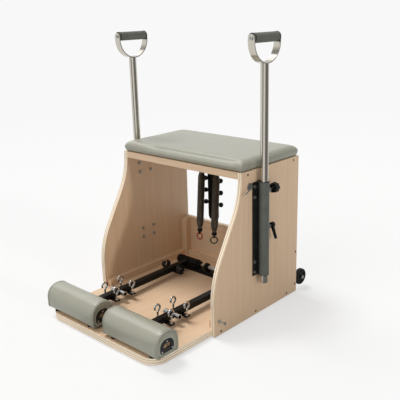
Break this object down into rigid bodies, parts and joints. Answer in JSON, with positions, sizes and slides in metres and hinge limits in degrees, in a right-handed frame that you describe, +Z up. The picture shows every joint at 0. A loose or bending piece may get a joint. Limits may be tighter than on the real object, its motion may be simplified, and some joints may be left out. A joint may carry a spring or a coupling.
{
  "type": "pilates chair",
  "caption": "Split-pedal pilates chair: plywood box with padded seat, hinged foot pedals, hanging coil springs and sliding hand poles with D-grips.",
  "frame": {"origin": "on the floor, under the middle of the chair's box", "axes": "+X to the right as seen from the front, +Y to the back, +Z up"},
  "size_m": [0.7136, 0.875, 1.055],
  "materials": {
    "plywood": "clear-lacquered birch plywood",
    "vinyl": "grey-green grained upholstery vinyl over foam",
    "black_steel": "black powder coat",
    "screw_steel": "blackened steel",
    "housing_grey": "dark grey satin powder coat",
    "stainless": "brushed stainless steel",
    "chrome": "chrome plate",
    "bolt_steel": "bright zinc plate",
    "black_plastic": "black moulded nylon",
    "rubber": "black rubber",
    "grip_rubber": "grey rubber",
    "core_wood": "oiled brown hardwood",
    "spring_steel": "black-coated spring wire",
    "red_ring": "red coating",
    "green_ring": "dark green coating",
    "tyre_rubber": "black wheel rubber",
    "wheel_plastic": "black moulded nylon"
  },
  "bodies": {
    "frame": {"base_board": "plywood", "left_side_panel": "plywood", "right_side_panel": "plywood", "seat_board": "plywood", "back_panel": "plywood", "cleats": "plywood", "seat_cushion": "vinyl", "wood_screws": "screw_steel", "rubber_feet": "rubber", "rear_beam": "black_steel", "pedal_axle": "chrome", "axle_collars": "black_steel", "spring_tree": "black_steel", "tree_pegs": "black_steel", "pole_housings": "housing_grey", "housing_brackets": "black_steel", "housing_bolts": "bolt_steel", "housing_nuts": "bolt_steel", "pole_bushes": "black_plastic", "strap_anchors": "bolt_steel", "wheel_brackets": "black_steel", "wheel_bolts": "bolt_steel"},
    "left_pedal": {"left_pedal_frame": "black_steel", "left_hub_bushes": "black_plastic", "left_spring_hooks": "chrome", "left_dowel_sleeve": "chrome", "left_rod_clips": "black_plastic", "left_pad_core": "core_wood", "left_pad_cover": "vinyl", "left_pad_end_plates": "black_plastic", "left_pad_end_screws": "bolt_steel", "left_pad_bumpers": "rubber"},
    "left_handle": {"left_handle_frame": "stainless", "left_handle_grip": "grip_rubber", "left_grip_bolts": "bolt_steel"},
    "left_knob": {"left_clamp_knob": "black_plastic"},
    "left_lever": {"left_clamp_lever": "black_plastic"},
    "left_wheel": {"left_wheel_tyre": "tyre_rubber", "left_wheel_hub": "wheel_plastic"},
    "left_hanging_spring": {"left_spring": "spring_steel", "left_spring_ring": "red_ring"},
    "right_pedal": {"right_pedal_frame": "black_steel", "right_hub_bushes": "black_plastic", "right_spring_hooks": "chrome", "right_dowel_sleeve": "chrome", "right_rod_clips": "black_plastic", "right_pad_core": "core_wood", "right_pad_cover": "vinyl", "right_pad_end_plates": "black_plastic", "right_pad_end_screws": "bolt_steel", "right_pad_bumpers": "rubber"},
    "right_handle": {"right_handle_frame": "stainless", "right_handle_grip": "grip_rubber", "right_grip_bolts": "bolt_steel"},
    "right_knob": {"right_clamp_knob": "black_plastic"},
    "right_lever": {"right_clamp_lever": "black_plastic"},
    "right_wheel": {"right_wheel_tyre": "tyre_rubber", "right_wheel_hub": "wheel_plastic"},
    "right_hanging_spring": {"right_spring": "spring_steel", "right_spring_ring": "green_ring"}
  },
  "joints": [
    {"name": "left_pedal_hinge", "type": "hinge", "parent": "frame", "child": "left_pedal", "pos_m": [-0.1505, 0.2015, 0.067], "axis": [-1, 0, 0], "range_deg": [0, 38]},
    {"name": "left_handle_slide", "type": "slide", "parent": "frame", "child": "left_handle", "axis": [0, 0, 1], "range_m": [-0.1, 0.18]},
    {"name": "left_knob_turn", "type": "hinge", "parent": "frame", "child": "left_knob", "pos_m": [-0.3375, 0.1545, 0.498], "axis": [0, 1, 0], "continuous": true},
    {"name": "left_lever_turn", "type": "hinge", "parent": "frame", "child": "left_lever", "pos_m": [-0.3375, 0.1465, 0.356], "axis": [0, 1, 0], "range_deg": [-10, 120]},
    {"name": "left_wheel_turn", "type": "hinge", "parent": "frame", "child": "left_wheel", "pos_m": [-0.3, 0.4035, 0.05], "axis": [1, 0, 0], "continuous": true},
    {"name": "left_spring_swing", "type": "hinge", "parent": "frame", "child": "left_hanging_spring", "pos_m": [-0.04, 0.1845, 0.53], "axis": [-1, 0, 0], "range_deg": [0, 35]},
    {"name": "right_pedal_hinge", "type": "hinge", "parent": "frame", "child": "right_pedal", "pos_m": [0.1505, 0.2015, 0.067], "axis": [-1, 0, 0], "range_deg": [0, 38]},
    {"name": "right_handle_slide", "type": "slide", "parent": "frame", "child": "right_handle", "axis": [0, 0, 1], "range_m": [-0.1, 0.18]},
    {"name": "right_knob_turn", "type": "hinge", "parent": "frame", "child": "right_knob", "pos_m": [0.3375, 0.1545, 0.498], "axis": [0, 1, 0], "continuous": true},
    {"name": "right_lever_turn", "type": "hinge", "parent": "frame", "child": "right_lever", "pos_m": [0.3375, 0.1465, 0.356], "axis": [0, -1, 0], "range_deg": [-10, 120]},
    {"name": "right_wheel_turn", "type": "hinge", "parent": "frame", "child": "right_wheel", "pos_m": [0.3, 0.4035, 0.05], "axis": [1, 0, 0], "continuous": true},
    {"name": "right_spring_swing", "type": "hinge", "parent": "frame", "child": "right_hanging_spring", "pos_m": [0.04, 0.1845, 0.53], "axis": [-1, 0, 0], "range_deg": [0, 35]}
  ]
}
